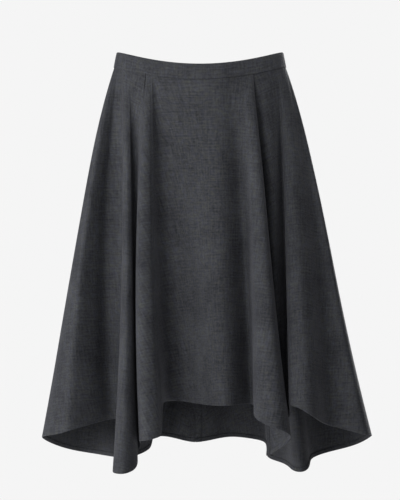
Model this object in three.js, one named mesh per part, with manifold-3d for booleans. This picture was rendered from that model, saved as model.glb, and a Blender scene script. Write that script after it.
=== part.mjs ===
// Knee-length asymmetric skirt in dark grey wool, hollow and hanging from its waist as it does when worn.
// Five panels flare into deep flutes under a flat waistband, and a concealed zip closes the centre back.
// Millimetres, +Z up, the front towards -Y. The origin is the middle of the waist seam, level with its sides.
import * as THREE from "three";
import { mergeVertices } from "three/addons/utils/BufferGeometryUtils.js";
import Module from "manifold-3d";

const wasm = await Module();
wasm.setup();

// Cloth and seams
const CLOTH = 1.5; // wall of a panel
const SEAM_GAP = 0.3; // between neighbouring pieces
const ZIP_GAP = 1.2; // between the two sides of the zip opening
const ZIP_REACH = 0.29; // share of the centre back seam that the zip opens

// Waist seam: an oval that dips at the front and a little at the back
const WAIST_HALF_WIDTH = 131;
const WAIST_HALF_DEPTH = 88;
const FRONT_DIP = 24;
const BACK_DIP = 12;

// Waistband: two layers of cloth with the seam turned up between them
const BAND_HEIGHT = 23;
const BAND_LEAN_WIDTH = 4.5; // how far its top leans in at each side
const BAND_LEAN_DEPTH = 3; // and at the front and back
const BAND_OUTSIDE = 1; // from the seam line to its outer face
const BAND_INSIDE = 1.4; // from the seam line to its inner face
const BAND_EDGE = 0.6; // softened top edge
const BAND_COLUMNS = 96;

// Flare
const LOWEST = -620; // level of the longest point of the hem
const HIP_SPREAD = 0.62; // how early the cloth spreads over the hips
const FOLD_EASE = 0.24; // softening of each fold, in spans between fold lines
const EASE_START = 0.14; // share of the length over which that softening grows from nothing
const ROW_SHARES = [0, 0.05, 0.11, 0.18, 0.26, 0.35, 0.45, 0.56, 0.67, 0.78, 0.89, 1];
const COLUMN_TURN = 26; // degrees of turn that one column takes at most
const COLUMN_WIDTH = 24; // widest column at the hem
const COLUMN_ANGLE = 6; // and at the waist, in degrees, so that the waist seam stays an even gap

// Zip
const TAPE_WIDTH = 12;
const TAPE_THICKNESS = 1;
const TAPE_BEHIND_BAND = BAND_INSIDE + SEAM_GAP + TAPE_THICKNESS / 2;
const TAPE_BEHIND_PANEL = CLOTH / 2 + 0.45 + TAPE_THICKNESS / 2;
const TAPE_RISES = [19, 9, 0.5]; // heights over the waist seam
const TAPE_SHARES = [0.012, 0.05, 0.11, 0.18, 0.26, 0.285];
const SLIDER_RISE = 15;
const SLIDER_LENGTH = 9;
const SLIDER_WIDTH = 7;
const SLIDER_FOOT_WIDTH = 5;
const SLIDER_DEPTH = 3;
const NECK_THICKNESS = 0.6;
const NECK_LENGTH = 5;
const LUG_THICKNESS = 1.6;
const LUG_RADIUS = 1.9;
const LUG_HOLE_RADIUS = 1;
const PIN_OUT = BAND_OUTSIDE + SEAM_GAP + 1.8; // pin's distance from the seam line
const PIN_RADIUS = 0.7;
const EAR_RADIUS = 1.6;
const EAR_INNER = 1.1;
const EAR_OUTER = 2.3;
const PULL_LENGTH = 17; // from the pin to the tip
const PULL_START = 2.7;
const PULL_TOP_WIDTH = 4.6;
const PULL_TIP_WIDTH = 5.4;
const PULL_THICKNESS = 1.2;
const PULL_TILT = 4; // degrees out from straight down, resting just off the band

// Fold lines, a row each, going round from the left side over the front to the right and the back.
// angle: where the line leaves the waist seam, in degrees from the middle of the front.
// x, y, z: its foot at the hem. heading: the hem's direction there in plan, in degrees from +X.
// before, after: how far the hem keeps that direction, in mm. bow, swell: its bulge in x and y at half height.
const COLUMNS = ["fold", "angle", "x", "y", "z", "heading", "before", "after", "bow", "swell"];

const FRONT_LEFT_FOLDS = [
  ["side_left", -90, -245, 12, -566, -90, 24, 30, 0, 0],
  ["wing_left", -82, -216, -62, -555, -34, 20, 12, -6, 0],
  ["wing_crest", -78.5, -195, -76, -548, 10, 11, 12, -13, 0],
  ["wing_slope", -75, -152, -49, -537, 54, 13, 10, -20, 0],
  ["valley_1", -72, -132, -24, -535, 4, 9, 9, -16, 3],
  ["flute_a_foot", -66.5, -121, -36, -533, -46, 9, 12, 5, 0],
  ["flute_a_left", -62.5, -130, -104, -606, -92, 18, 14, 7, 0],
  ["flute_a", -60, -118, -142, -606, -10, 9, 8, 6, -3],
  ["flute_a_middle", -56.5, -103, -138, -604, 36, 9, 9, 5, 0],
  ["flute_a_right", -52.5, -92, -108, -596, 78, 9, 12, -3, 2],
  ["valley_2", -46, -91, -84, -574, 0, 7, 7, -3, 4],
];

const FRONT_CENTRE_FOLDS = [
  ["seam_left", -38, -90, -112, -560, -88, 14, 12, -12, 0],
  ["flute_b", -36.4, -80, -147, -557, -16, 10, 9, -12, 0],
  ["flute_b_middle", -35.2, -64, -145, -553, 20, 9, 9, -9, 0],
  ["flute_b_right", -34.1, -56, -128, -549, 72, 9, 4, -8, 0],
  ["hem_step", -33.3, -55, -116, -504, 76, 4, 9, -8, 0],
  ["flute_b_foot", -32.5, -48, -88, -503, 66, 9, 8, -6, 0],
  ["valley_3", -31.2, -32, -70, -504, 4, 9, 9, -4, 0],
  ["centre_left", -28, -10, -87, -506, -26, 12, 16, -6, 0],
  ["centre", 6, 27, -107, -509, -24, 16, 10, 0, 0],
  ["centre_right", 12.5, 50, -105, -508, 34, 10, 12, 1, 0],
  ["valley_4", 19.5, 78, -60, -508, 16, 14, 8, 3, -5],
  ["flute_c_left", 29, 79, -110, -522, -90, 18, 12, 6, 0],
  ["flute_c", 31.5, 90, -143, -531, -44, 10, 10, 4, 0],
  ["flute_c_front", 34, 117, -153, -540, -2, 12, 12, 0, 0],
  ["flute_c_edge", 36, 137, -117, -556, 86, 14, 14, -6, 0],
];

const FRONT_RIGHT_FOLDS = [
  ["seam_right", 38, 98, -56, -591, 70, 17, 16, 0, 6],
  ["small_flute", 47, 119, -82, -552, -14, 9, 9, 4, -13],
  ["valley_5", 62, 133, -66, -530, 0, 8, 7, 3, 0],
  ["flute_e_left", 68, 130, -128, -505, -90, 20, 12, 1, 0],
  ["flute_e", 72, 142, -146, -508, -28, 9, 9, 1, 0],
  ["flute_e_right", 76.5, 162, -150, -519, 6, 9, 9, 2, -3],
  ["flute_e_foot", 80, 179, -118, -532, 62, 12, 12, 12, -6],
  ["valley_6", 83, 199, -88, -541, 10, 12, 12, 14, -8],
  ["wing_right", 87, 249, -100, -553, -20, 14, 9, -3, -6],
];

const BACK_RIGHT_FOLDS = [
  ["side_right", 90, 263, 4, -563, 90, 26, 34, -6, 0],
  ["back_right", 110, 230, 122, -593, 160, 28, 20, 0, 0],
  ["flute_d_right", 121, 173, 74, -605, 262, 18, 10, 0, 0],
  ["flute_d_side", 125, 169, 38, -612, 264, 10, 10, 0, 0],
  ["flute_d", 129, 155, 12, -620, 180, 9, 9, 0, 0],
  ["flute_d_left", 134, 141, 44, -617, 94, 10, 10, 0, 0],
  ["flute_d_shelf", 138, 124, 90, -611, 150, 12, 10, 0, 0],
  ["ridge_right_foot", 143, 107, 128, -606, 88, 12, 14, 0, 0],
  ["ridge_right_flank", 148, 108, 178, -592, 92, 14, 9, 0, 0],
  ["ridge_right", 152, 94, 208, -587, 172, 10, 12, 0, 0],
  ["back_middle", 164, 49, 212, -582, 180, 14, 16, 0, 0],
];

const BACK_LEFT_FOLDS = [
  ["centre_back", 180, -8, 170, -589, 180, 18, 14, 0, 0],
  ["ridge_left", 190, -60, 210, -581, 184, 16, 9, 0, 0],
  ["ridge_left_flank", 197, -77, 168, -582, 268, 14, 14, 0, 0],
  ["ridge_left_foot", 205, -79, 94, -591, 262, 14, 12, 0, 0],
  ["valley_back_left", 215, -118, 48, -602, 180, 18, 14, 0, 0],
  ["back_left", 240, -190, 116, -598, 190, 28, 30, 0, 0],
];

const PANELS = [
  { name: "front_left", folds: FRONT_LEFT_FOLDS },
  { name: "front_centre", folds: FRONT_CENTRE_FOLDS },
  { name: "front_right", folds: FRONT_RIGHT_FOLDS },
  { name: "back_right", folds: BACK_RIGHT_FOLDS },
  { name: "back_left", folds: BACK_LEFT_FOLDS },
];

const lerp = THREE.MathUtils.lerp;
const radians = THREE.MathUtils.degToRad;
const named = (row) => Object.fromEntries(COLUMNS.map((column, k) => [column, row[k]]));
const FOLDS = PANELS.flatMap((panel) => panel.folds.map(named));
const at = (list, i) => list[(i + list.length) % list.length];

function seamHeight(angle) {
  const cosine = Math.cos(radians(angle));
  return -(cosine > 0 ? FRONT_DIP : BACK_DIP) * cosine * cosine;
}

// A point of the waist oval, raised over the seam along the waistband's lean.
function waistPoint(angle, rise = 0) {
  const width = WAIST_HALF_WIDTH - (BAND_LEAN_WIDTH * rise) / BAND_HEIGHT;
  const depth = WAIST_HALF_DEPTH - (BAND_LEAN_DEPTH * rise) / BAND_HEIGHT;
  const turn = radians(angle);
  return new THREE.Vector3(width * Math.sin(turn), -depth * Math.cos(turn), seamHeight(angle) + rise);
}

function waistDirection(angle) {
  const turn = radians(angle);
  return new THREE.Vector3(WAIST_HALF_WIDTH * Math.cos(turn), WAIST_HALF_DEPTH * Math.sin(turn), 0);
}

const spreadAt = (drop) => drop + HIP_SPREAD * drop * (1 - drop) ** 3;
const dropAt = (waistZ, z) => (waistZ - z) / (waistZ - LOWEST);
const planDistance = (p, q) => Math.hypot(q.x - p.x, q.y - p.y);

// Each fold line carried on down to the lowest level, so that the hem only cuts the form.
function reachPoint(fold) {
  const waist = waistPoint(fold.angle);
  const drop = dropAt(waist.z, fold.z);
  const spread = spreadAt(drop);
  const bulge = 4 * drop * (1 - drop);
  return new THREE.Vector3(
    waist.x + (fold.x - fold.bow * bulge - waist.x) / spread,
    waist.y + (fold.y - fold.swell * bulge - waist.y) / spread,
    fold.z,
  );
}

const waistFeet = FOLDS.map((fold) => waistPoint(fold.angle));
const reachFeet = FOLDS.map(reachPoint);

// The hem's rise or fall at a fold line: level where it turns, and a mean of both sides elsewhere.
function hemSlope(i) {
  const [before, here, after] = [at(reachFeet, i - 1), at(reachFeet, i), at(reachFeet, i + 1)];
  const coming = (here.z - before.z) / planDistance(before, here);
  const going = (after.z - here.z) / planDistance(here, after);
  return coming * going <= 0 ? 0 : (2 * coming * going) / (coming + going);
}

// The waist takes the hem's handle lengths at this one share, which keeps each fold smooth all the way up.
function waistShare(i) {
  const before = planDistance(at(waistFeet, i - 1), at(waistFeet, i));
  const after = planDistance(at(waistFeet, i), at(waistFeet, i + 1));
  return Math.min(before / (2.2 * FOLDS[i].before), after / (2.2 * FOLDS[i].after));
}

const handles = FOLDS.map((fold, i) => ({
  heading: new THREE.Vector3(Math.cos(radians(fold.heading)), Math.sin(radians(fold.heading)), hemSlope(i)),
  degrees: (waistShare(i) * 180) / (Math.PI * waistDirection(fold.angle).length()),
}));

// The span from one fold line to the next: a cubic curve of angles at the waist and one of points below.
function spanBetween(i) {
  const next = (i + 1) % FOLDS.length;
  const [fold, other] = [FOLDS[i], FOLDS[next]];
  const endAngle = next === 0 ? other.angle + 360 : other.angle;
  const ahead = reachFeet[i].clone().addScaledVector(handles[i].heading, fold.after);
  const behind = reachFeet[next].clone().addScaledVector(handles[next].heading, -other.before);
  return {
    angles: [
      fold.angle,
      fold.angle + handles[i].degrees * fold.after,
      endAngle - handles[next].degrees * other.before,
      endAngle,
    ],
    reach: new THREE.CubicBezierCurve3(reachFeet[i], ahead, behind, reachFeet[next]),
    bows: [fold.bow, other.bow],
    swells: [fold.swell, other.swell],
    turn: Math.abs(((other.heading - fold.heading + 540) % 360) - 180),
    width: Math.hypot(other.x - fold.x, other.y - fold.y),
  };
}

const SPANS = FOLDS.map((fold, i) => spanBetween(i));

function cubic(values, s) {
  const [a, b, c, d] = values;
  const r = 1 - s;
  return r * r * r * a + 3 * s * r * r * b + 3 * s * s * r * c + s * s * s * d;
}

// A point of the folded cloth before softening: u counts spans round the body, t goes from waist to hem.
function foldedPoint(u, t) {
  const turn = (u + SPANS.length) % SPANS.length;
  const span = SPANS[Math.floor(turn)];
  const s = turn - Math.floor(turn);
  const waist = waistPoint(cubic(span.angles, s));
  const reach = span.reach.getPoint(s);
  const z = lerp(waist.z, reach.z, t);
  const drop = dropAt(waist.z, z);
  const spread = spreadAt(drop);
  const bulge = 4 * drop * (1 - drop);
  const blend = s * s * (3 - 2 * s);
  const x = lerp(waist.x, reach.x, spread) + lerp(...span.bows, blend) * bulge;
  const y = lerp(waist.y, reach.y, spread) + lerp(...span.swells, blend) * bulge;
  return new THREE.Vector3(x, y, z);
}

// The middle of the cloth: a weighted mean of five points across the folds.
const EASE_WEIGHTS = [1, 4, 6, 4, 1];

function clothPoint(u, t) {
  const growth = Math.min(1, t / EASE_START);
  const ease = FOLD_EASE * growth * growth * (3 - 2 * growth);
  const mean = new THREE.Vector3();
  EASE_WEIGHTS.forEach((weight, k) => {
    mean.addScaledVector(foldedPoint(u + ease * (k - 2), t), weight / 16);
  });
  return mean;
}

// Direction round the body and the outward normal at a point of the cloth.
function clothFrame(u, t) {
  const round = clothPoint(u + 0.02, t).sub(clothPoint(u - 0.02, t)).normalize();
  const down = clothPoint(u, Math.min(1, t + 0.01)).sub(clothPoint(u, Math.max(0, t - 0.01)));
  const normal = down.cross(round).normalize();
  if (t === 0) normal.setZ(0).normalize();
  return { round, normal };
}

// A closed sheet between two grids of points: rows go down it and columns go round the body.
function sheetGeometry(outer, inner) {
  const rows = outer.length;
  const columns = outer[0].length;
  const positions = [...outer.flat(), ...inner.flat()].flatMap((point) => point.toArray());
  const out = (r, c) => r * columns + c;
  const back = (r, c) => rows * columns + r * columns + c;
  const faces = [];
  for (let r = 0; r + 1 < rows; r++) {
    for (let c = 0; c + 1 < columns; c++) {
      faces.push(out(r, c), out(r + 1, c), out(r, c + 1));
      faces.push(out(r, c + 1), out(r + 1, c), out(r + 1, c + 1));
      faces.push(back(r, c), back(r, c + 1), back(r + 1, c));
      faces.push(back(r, c + 1), back(r + 1, c + 1), back(r + 1, c));
    }
    const end = columns - 1;
    faces.push(out(r + 1, 0), out(r, 0), back(r + 1, 0), out(r, 0), back(r, 0), back(r + 1, 0));
    faces.push(out(r, end), out(r + 1, end), back(r, end), out(r + 1, end), back(r + 1, end), back(r, end));
  }
  const foot = rows - 1;
  for (let c = 0; c + 1 < columns; c++) {
    faces.push(out(0, c), out(0, c + 1), back(0, c), out(0, c + 1), back(0, c + 1), back(0, c));
    faces.push(out(foot, c + 1), out(foot, c), back(foot, c + 1));
    faces.push(out(foot, c), back(foot, c), back(foot, c + 1));
  }
  const geometry = new THREE.BufferGeometry();
  geometry.setAttribute("position", new THREE.Float32BufferAttribute(positions, 3));
  geometry.setIndex(faces);
  geometry.computeVertexNormals();
  return geometry;
}

const SUITING = { color: "#3d3d41", roughness: 0.92, metalness: 0 };
const BAND_SUITING = { color: "#3f3f43", roughness: 0.9, metalness: 0 };
const ZIP_TAPE = { color: "#2b2b2e", roughness: 0.95, metalness: 0 };
const LACQUERED_METAL = { color: "#35353a", roughness: 0.45, metalness: 0.8 };

const skirt = new THREE.Group();

function addPiece(name, geometry, looks) {
  const mesh = new THREE.Mesh(geometry, new THREE.MeshStandardMaterial(looks));
  mesh.name = name;
  skirt.add(mesh);
  return mesh;
}

// Half of the gap at a panel's edge: wider where the zip opens the centre back.
function edgeShift(u, t) {
  const opened = FOLDS[u % FOLDS.length].fold === "centre_back" && t < ZIP_REACH;
  return (opened ? ZIP_GAP : SEAM_GAP) / 2;
}

function panelColumns(first, last) {
  const columns = [];
  for (let i = first; i < last; i++) {
    const span = SPANS[i];
    const hemCount = Math.hypot(span.turn / COLUMN_TURN, span.width / COLUMN_WIDTH);
    const count = Math.ceil(Math.max(3, hemCount, (span.angles[3] - span.angles[0]) / COLUMN_ANGLE));
    for (let k = 0; k < count; k++) columns.push(i + k / count);
  }
  columns.push(last);
  return columns;
}

function panelGeometry(first, last) {
  const columns = panelColumns(first, last);
  const side = (way) => ROW_SHARES.map((t) => columns.map((u) => {
    const { round, normal } = clothFrame(u, t);
    const point = clothPoint(u, t).addScaledVector(normal, (way * CLOTH) / 2);
    if (u === first) point.addScaledVector(round, edgeShift(u, t));
    if (u === last) point.addScaledVector(round, -edgeShift(u, t));
    if (t === 0) point.z -= SEAM_GAP / 2;
    return point;
  }));
  return sheetGeometry(side(1), side(-1));
}

let firstFold = 0;
for (const panel of PANELS) {
  const lastFold = firstFold + panel.folds.length;
  addPiece(panel.name, panelGeometry(firstFold, lastFold), SUITING);
  firstFold = lastFold;
}

// Waistband: one strip that starts and ends at the centre back.
function bandGeometry() {
  const section = (offset, rise) => Array.from({ length: BAND_COLUMNS + 1 }, (_, k) => {
    const angle = -180 + (360 * k) / BAND_COLUMNS;
    const round = waistDirection(angle).normalize();
    const point = waistPoint(angle, rise).addScaledVector(new THREE.Vector3(round.y, -round.x, 0), offset);
    if (k === 0) point.addScaledVector(round, ZIP_GAP / 2);
    if (k === BAND_COLUMNS) point.addScaledVector(round, -ZIP_GAP / 2);
    point.z += SEAM_GAP / 2;
    return point;
  });
  const shoulder = BAND_HEIGHT - BAND_EDGE;
  const outer = [
    section(BAND_OUTSIDE - BAND_EDGE, BAND_HEIGHT),
    section(BAND_OUTSIDE, shoulder),
    section(BAND_OUTSIDE, 0),
  ];
  const inner = [
    section(BAND_EDGE - BAND_INSIDE, BAND_HEIGHT),
    section(-BAND_INSIDE, shoulder),
    section(-BAND_INSIDE, 0),
  ];
  return sheetGeometry(outer, inner);
}

addPiece("waistband", bandGeometry(), BAND_SUITING);

// Zip tapes: behind the band and the back panels, each from the opening's edge outwards.
const CENTRE_BACK = FOLDS.findIndex((fold) => fold.fold === "centre_back");

// The u at which the cloth near the centre back lies at a given x; x falls as u grows there.
function spanAtX(x, t) {
  let low = CENTRE_BACK - 1.5;
  let high = CENTRE_BACK + 1.5;
  for (let k = 0; k < 40; k++) {
    const middle = (low + high) / 2;
    if (clothPoint(middle, t).x > x) low = middle;
    else high = middle;
  }
  return (low + high) / 2;
}

function tapeGeometry(side) {
  const starts = [1, 2 / 3, 1 / 3, 0].map((share) => side * (ZIP_GAP / 2 + TAPE_WIDTH * share));
  const across = side > 0 ? starts : starts.reverse();
  const face = (way) => {
    const half = (way * TAPE_THICKNESS) / 2;
    const behindBand = TAPE_RISES.map((rise) => across.map((x) => {
      const depth = WAIST_HALF_DEPTH - (BAND_LEAN_DEPTH * rise) / BAND_HEIGHT;
      const angle = 180 - THREE.MathUtils.radToDeg(Math.atan2(x / WAIST_HALF_WIDTH, 1));
      const round = waistDirection(angle).normalize();
      const outward = new THREE.Vector3(round.y, -round.x, 0);
      const y = depth * Math.sqrt(1 - (x / WAIST_HALF_WIDTH) ** 2);
      return new THREE.Vector3(x, y, seamHeight(180) + rise).addScaledVector(outward, half - TAPE_BEHIND_BAND);
    }));
    const behindPanel = TAPE_SHARES.map((t) => across.map((x) => {
      const u = spanAtX(x, t);
      return clothPoint(u, t).addScaledVector(clothFrame(u, t).normal, half - TAPE_BEHIND_PANEL);
    }));
    return [...behindBand, ...behindPanel];
  };
  return sheetGeometry(face(1), face(-1));
}

addPiece("zip_tape_right", tapeGeometry(1), ZIP_TAPE);
addPiece("zip_tape_left", tapeGeometry(-1), ZIP_TAPE);

// Slider and pull: joined and bored as solids. Local y points out of the band and z goes up it.
function solidOf(geometry) {
  const bare = geometry.clone();
  bare.deleteAttribute("normal");
  bare.deleteAttribute("uv");
  const merged = mergeVertices(bare, 1e-4);
  return new wasm.Manifold(new wasm.Mesh({
    numProp: 3,
    vertProperties: new Float32Array(merged.attributes.position.array),
    triVerts: new Uint32Array(merged.index.array),
  }));
}

function geometryOf(solid) {
  const mesh = solid.getMesh();
  const geometry = new THREE.BufferGeometry();
  geometry.setAttribute("position", new THREE.Float32BufferAttribute(mesh.vertProperties, 3));
  geometry.setIndex([...mesh.triVerts]);
  geometry.computeVertexNormals();
  return geometry;
}

function block(width, depth, height, y = 0, z = 0) {
  return new THREE.BoxGeometry(width, depth, height).translate(0, y, z);
}

function crossPin(radius, length, y = 0, x = 0) {
  return new THREE.CylinderGeometry(radius, radius, length, 20).rotateZ(Math.PI / 2).translate(x, y, 0);
}

// A flat outline in x and z with rounded corners, made as thick as given about y.
function plate(topWidth, footWidth, top, foot, corner, thickness) {
  const shape = new THREE.Shape();
  shape.moveTo(-topWidth / 2 + corner, top);
  shape.lineTo(topWidth / 2 - corner, top);
  shape.quadraticCurveTo(topWidth / 2, top, topWidth / 2, top - corner);
  shape.lineTo(footWidth / 2, foot + corner);
  shape.quadraticCurveTo(footWidth / 2, foot, footWidth / 2 - corner, foot);
  shape.lineTo(corner - footWidth / 2, foot);
  shape.quadraticCurveTo(-footWidth / 2, foot, -footWidth / 2, foot + corner);
  shape.lineTo(-topWidth / 2, top - corner);
  shape.quadraticCurveTo(-topWidth / 2, top, corner - topWidth / 2, top);
  const options = { depth: thickness, bevelEnabled: false, curveSegments: 4 };
  return new THREE.ExtrudeGeometry(shape, options).rotateX(Math.PI / 2).translate(0, thickness / 2, 0);
}

function sliderGeometry() {
  const face = -(TAPE_BEHIND_BAND + TAPE_THICKNESS / 2 + SEAM_GAP); // outer face of the body
  const half = SLIDER_LENGTH / 2;
  const body = plate(SLIDER_WIDTH, SLIDER_FOOT_WIDTH, half, -half, 1.2, SLIDER_DEPTH);
  const lugFoot = BAND_OUTSIDE + SEAM_GAP;
  const neckEnd = lugFoot + 0.6;
  const neckStart = face - 0.5;
  const neck = block(NECK_THICKNESS, neckEnd - neckStart, NECK_LENGTH, (neckEnd + neckStart) / 2);
  const web = block(LUG_THICKNESS, PIN_OUT - lugFoot, 2 * LUG_RADIUS, (PIN_OUT + lugFoot) / 2);
  return geometryOf(
    solidOf(body.translate(0, face - SLIDER_DEPTH / 2, 0))
      .add(solidOf(neck))
      .add(solidOf(web))
      .add(solidOf(crossPin(LUG_RADIUS, LUG_THICKNESS, PIN_OUT)))
      .subtract(solidOf(crossPin(LUG_HOLE_RADIUS, 2 * LUG_THICKNESS, PIN_OUT))),
  );
}

function pullGeometry() {
  const earThickness = EAR_OUTER - EAR_INNER;
  const earMiddle = (EAR_OUTER + EAR_INNER) / 2;
  const leaf = plate(PULL_TOP_WIDTH, PULL_TIP_WIDTH, -PULL_START, -PULL_LENGTH, 0.8, PULL_THICKNESS);
  let pull = solidOf(leaf).add(solidOf(crossPin(PIN_RADIUS, 2 * earMiddle)));
  for (const side of [-1, 1]) {
    const arm = new THREE.BoxGeometry(earThickness, PULL_THICKNESS, PULL_START + 1);
    pull = pull
      .add(solidOf(crossPin(EAR_RADIUS, earThickness, 0, side * earMiddle)))
      .add(solidOf(arm.translate(side * earMiddle, 0, -(PULL_START + 1) / 2)));
  }
  return geometryOf(pull);
}

const bandLean = Math.atan2(BAND_LEAN_DEPTH, BAND_HEIGHT);
const sliderSeat = waistPoint(180, SLIDER_RISE);
const slider = addPiece("zip_slider", sliderGeometry(), LACQUERED_METAL);
slider.position.copy(sliderSeat);
slider.rotation.x = bandLean;

const pull = addPiece("zip_pull", pullGeometry(), LACQUERED_METAL);
pull.position.copy(sliderSeat).add(new THREE.Vector3(0, PIN_OUT, 0).applyEuler(slider.rotation));
pull.rotation.x = radians(PULL_TILT);

export default skirt;
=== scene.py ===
"""Knee-length asymmetric skirt in dark grey wool, hollow and hanging as it does when worn.

Lengths in the tables are millimetres; Blender's own units are metres. +Z is up and -Y is the front.
"""

import math

import bmesh
import bpy
import numpy as np
from bpy.props import FloatProperty, FloatVectorProperty, IntProperty, PointerProperty
from mathutils import Matrix, Vector


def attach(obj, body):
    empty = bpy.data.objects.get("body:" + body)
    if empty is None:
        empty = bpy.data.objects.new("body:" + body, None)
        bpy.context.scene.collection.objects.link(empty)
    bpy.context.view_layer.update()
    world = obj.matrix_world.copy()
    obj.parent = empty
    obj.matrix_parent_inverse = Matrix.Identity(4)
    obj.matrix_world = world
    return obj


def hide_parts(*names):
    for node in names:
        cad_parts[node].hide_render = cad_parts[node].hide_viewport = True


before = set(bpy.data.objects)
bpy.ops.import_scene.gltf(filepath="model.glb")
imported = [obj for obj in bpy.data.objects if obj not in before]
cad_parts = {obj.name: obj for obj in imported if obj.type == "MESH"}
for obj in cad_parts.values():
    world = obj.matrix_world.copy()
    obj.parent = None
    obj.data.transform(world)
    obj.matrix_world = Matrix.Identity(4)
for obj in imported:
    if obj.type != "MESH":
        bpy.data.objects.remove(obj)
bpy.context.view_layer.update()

bl_info = {
    "name": "Asymmetric skirt",
    "version": (1, 0, 0),
    "blender": (4, 5, 0),
    "location": "View3D > Sidebar > Skirt",
    "description": "Builds a flared skirt with deep flutes, a flat waistband and a concealed zip",
    "category": "Object",
}

MM = 0.001

# Waist seam: an oval that dips at the front and a little at the back.
WAIST_HALF_WIDTH = 131.0
WAIST_HALF_DEPTH = 88.0
FRONT_DIP = 24.0
BACK_DIP = 12.0
BAND_HEIGHT = 23.0
BAND_LEAN_WIDTH = 4.5
BAND_LEAN_DEPTH = 3.0
# Slight unevenness of the pressed band: height in mm, waves round the waist, and start in degrees.
BAND_RIPPLES = ((0.12, 7, 20), (0.08, 13, 70))

# Flare
LOWEST = -620.0
HIP_SPREAD = 0.62
# A fold is softened over this part of a span on each side, in full from this share of the way down.
FOLD_EASE = 0.24
EASE_START = 0.14
# Weights of five points across a fold, whose mean softens it.
SOFTENING = (1, 4, 6, 4, 1)
# A span's waist would be filled by this many of a fold line's handles.
HANDLES_TO_A_SPAN = 2.2
# Steps for slopes of the cloth: in spans round the body, and in shares of the way down.
AROUND_STEP = 0.02
DOWN_STEP = 0.01

# Fold lines, a row each, going round from the left side over the front to the right and the back.
# angle: where the line leaves the waist seam, in degrees from the middle of the front.
# x, y, z: its foot at the hem. heading: the hem's direction there in plan, in degrees from +X.
# before, after: how far the hem keeps that direction. bow, swell: its bulge in x and y at half height.
FOLD_COLUMNS = ("fold", "angle", "x", "y", "z", "heading", "before", "after", "bow", "swell")
PANELS = {
    "front_left": (
        ("side_left", -90, -245, 12, -566, -90, 24, 30, 0, 0),
        ("wing_left", -82, -216, -62, -555, -34, 20, 12, -6, 0),
        ("wing_crest", -78.5, -195, -76, -548, 10, 11, 12, -13, 0),
        ("wing_slope", -75, -152, -49, -537, 54, 13, 10, -20, 0),
        ("valley_1", -72, -132, -24, -535, 4, 9, 9, -16, 3),
        ("flute_a_foot", -66.5, -121, -36, -533, -46, 9, 12, 5, 0),
        ("flute_a_left", -62.5, -130, -104, -606, -92, 18, 14, 7, 0),
        ("flute_a", -60, -118, -142, -606, -10, 9, 8, 6, -3),
        ("flute_a_middle", -56.5, -103, -138, -604, 36, 9, 9, 5, 0),
        ("flute_a_right", -52.5, -92, -108, -596, 78, 9, 12, -3, 2),
        ("valley_2", -46, -91, -84, -574, 0, 7, 7, -3, 4),
    ),
    "front_centre": (
        ("seam_left", -38, -90, -112, -560, -88, 14, 12, -12, 0),
        ("flute_b", -36.4, -80, -147, -557, -16, 10, 9, -12, 0),
        ("flute_b_middle", -35.2, -64, -145, -553, 20, 9, 9, -9, 0),
        ("flute_b_right", -34.1, -56, -128, -549, 72, 9, 4, -8, 0),
        ("hem_step", -33.3, -55, -116, -504, 76, 4, 9, -8, 0),
        ("flute_b_foot", -32.5, -48, -88, -503, 66, 9, 8, -6, 0),
        ("valley_3", -31.2, -32, -70, -504, 4, 9, 9, -4, 0),
        ("centre_left", -28, -10, -87, -506, -26, 12, 16, -6, 0),
        ("centre", 6, 27, -107, -509, -24, 16, 10, 0, 0),
        ("centre_right", 12.5, 50, -105, -508, 34, 10, 12, 1, 0),
        ("valley_4", 19.5, 78, -60, -508, 16, 14, 8, 3, -5),
        ("flute_c_left", 29, 79, -110, -522, -90, 18, 12, 6, 0),
        ("flute_c", 31.5, 90, -143, -531, -44, 10, 10, 4, 0),
        ("flute_c_front", 34, 117, -153, -540, -2, 12, 12, 0, 0),
        ("flute_c_edge", 36, 137, -117, -556, 86, 14, 14, -6, 0),
    ),
    "front_right": (
        ("seam_right", 38, 98, -56, -591, 70, 17, 16, 0, 6),
        ("small_flute", 47, 119, -82, -552, -14, 9, 9, 4, -13),
        ("valley_5", 62, 133, -66, -530, 0, 8, 7, 3, 0),
        ("flute_e_left", 68, 130, -128, -505, -90, 20, 12, 1, 0),
        ("flute_e", 72, 142, -146, -508, -28, 9, 9, 1, 0),
        ("flute_e_right", 76.5, 162, -150, -519, 6, 9, 9, 2, -3),
        ("flute_e_foot", 80, 179, -118, -532, 62, 12, 12, 12, -6),
        ("valley_6", 83, 199, -88, -541, 10, 12, 12, 14, -8),
        ("wing_right", 87, 249, -100, -553, -20, 14, 9, -3, -6),
    ),
    "back_right": (
        ("side_right", 90, 263, 4, -563, 90, 26, 34, -6, 0),
        ("back_right", 110, 230, 122, -593, 160, 28, 20, 0, 0),
        ("flute_d_right", 121, 173, 74, -605, 262, 18, 10, 0, 0),
        ("flute_d_side", 125, 169, 38, -612, 264, 10, 10, 0, 0),
        ("flute_d", 129, 155, 12, -620, 180, 9, 9, 0, 0),
        ("flute_d_left", 134, 141, 44, -617, 94, 10, 10, 0, 0),
        ("flute_d_shelf", 138, 124, 90, -611, 150, 12, 10, 0, 0),
        ("ridge_right_foot", 143, 107, 128, -606, 88, 12, 14, 0, 0),
        ("ridge_right_flank", 148, 108, 178, -592, 92, 14, 9, 0, 0),
        ("ridge_right", 152, 94, 208, -587, 172, 10, 12, 0, 0),
        ("back_middle", 164, 49, 212, -582, 180, 14, 16, 0, 0),
    ),
    "back_left": (
        ("centre_back", 180, -8, 170, -589, 180, 18, 14, 0, 0),
        ("ridge_left", 190, -60, 210, -581, 184, 16, 9, 0, 0),
        ("ridge_left_flank", 197, -77, 168, -582, 268, 14, 14, 0, 0),
        ("ridge_left_foot", 205, -79, 94, -591, 262, 14, 12, 0, 0),
        ("valley_back_left", 215, -118, 48, -602, 180, 18, 14, 0, 0),
        ("back_left", 240, -190, 116, -598, 190, 28, 30, 0, 0),
    ),
}
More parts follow.
